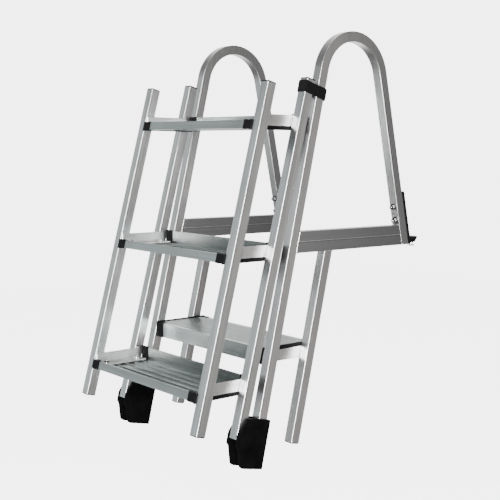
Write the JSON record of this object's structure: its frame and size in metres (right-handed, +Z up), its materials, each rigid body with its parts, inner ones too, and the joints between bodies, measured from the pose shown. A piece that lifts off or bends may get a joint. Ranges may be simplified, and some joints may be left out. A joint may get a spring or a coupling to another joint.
{
  "type": "flip-up dock ladder",
  "caption": "Aluminium dock ladder with bent handrails on side beams, deep grooved treads and a lower section that folds up in front on hinges at its foot.",
  "frame": {"origin": "on the underside of the right-hand dock bracket's flange, centred on the rail's width, 9 mm behind the bracket's leaf", "axes": "+X to the right of someone on the ladder facing the dock, +Y towards the dock, +Z up"},
  "size_m": [0.5015, 0.7277, 1.0309],
  "materials": {
    "aluminium": "mill",
    "beam_aluminium": "mill, darker",
    "black_plastic": "matte black",
    "strap_webbing": "black webbing",
    "steel": "satin"
  },
  "bodies": {
    "fixed_frame": {"dock_bracket_left": "beam_aluminium", "dock_bracket_right": "beam_aluminium", "handrail_left": "aluminium", "handrail_right": "aluminium", "hinge_boot_left": "black_plastic", "hinge_boot_right": "black_plastic", "hinge_pin_left": "steel", "hinge_pin_right": "steel", "rear_leg_left": "aluminium", "rear_leg_right": "aluminium", "side_beam_left": "beam_aluminium", "side_beam_right": "beam_aluminium", "stow_strap": "strap_webbing", "tread_bracket_fixed_left": "aluminium", "tread_bracket_fixed_right": "aluminium", "tread_cap_fixed_left": "black_plastic", "tread_cap_fixed_right": "black_plastic", "tread_fixed": "aluminium"},
    "flip_section": {"flip_rail_back_left": "aluminium", "flip_rail_back_right": "aluminium", "flip_rail_front_left": "aluminium", "flip_rail_front_right": "aluminium", "hinge_lug_left": "aluminium", "hinge_lug_right": "aluminium", "rail_cap_back_left": "black_plastic", "rail_cap_back_right": "black_plastic", "rail_cap_front_left": "black_plastic", "rail_cap_front_right": "black_plastic", "tread_bracket_high_left": "aluminium", "tread_bracket_high_right": "aluminium", "tread_bracket_low_left": "aluminium", "tread_bracket_low_right": "aluminium", "tread_bracket_mid_left": "aluminium", "tread_bracket_mid_right": "aluminium", "tread_cap_high_left": "black_plastic", "tread_cap_high_right": "black_plastic", "tread_cap_low_left": "black_plastic", "tread_cap_low_right": "black_plastic", "tread_cap_mid_left": "black_plastic", "tread_cap_mid_right": "black_plastic", "tread_high": "aluminium", "tread_low": "aluminium", "tread_mid": "aluminium"}
  },
  "joints": [
    {"name": "flip_hinge", "type": "hinge", "parent": "fixed_frame", "child": "flip_section", "pos_m": [-0.2313, -0.5535, -0.4394], "axis": [1, 0, 0], "range_deg": [0, 181.4], "deforming": ["stow_strap"]}
  ]
}
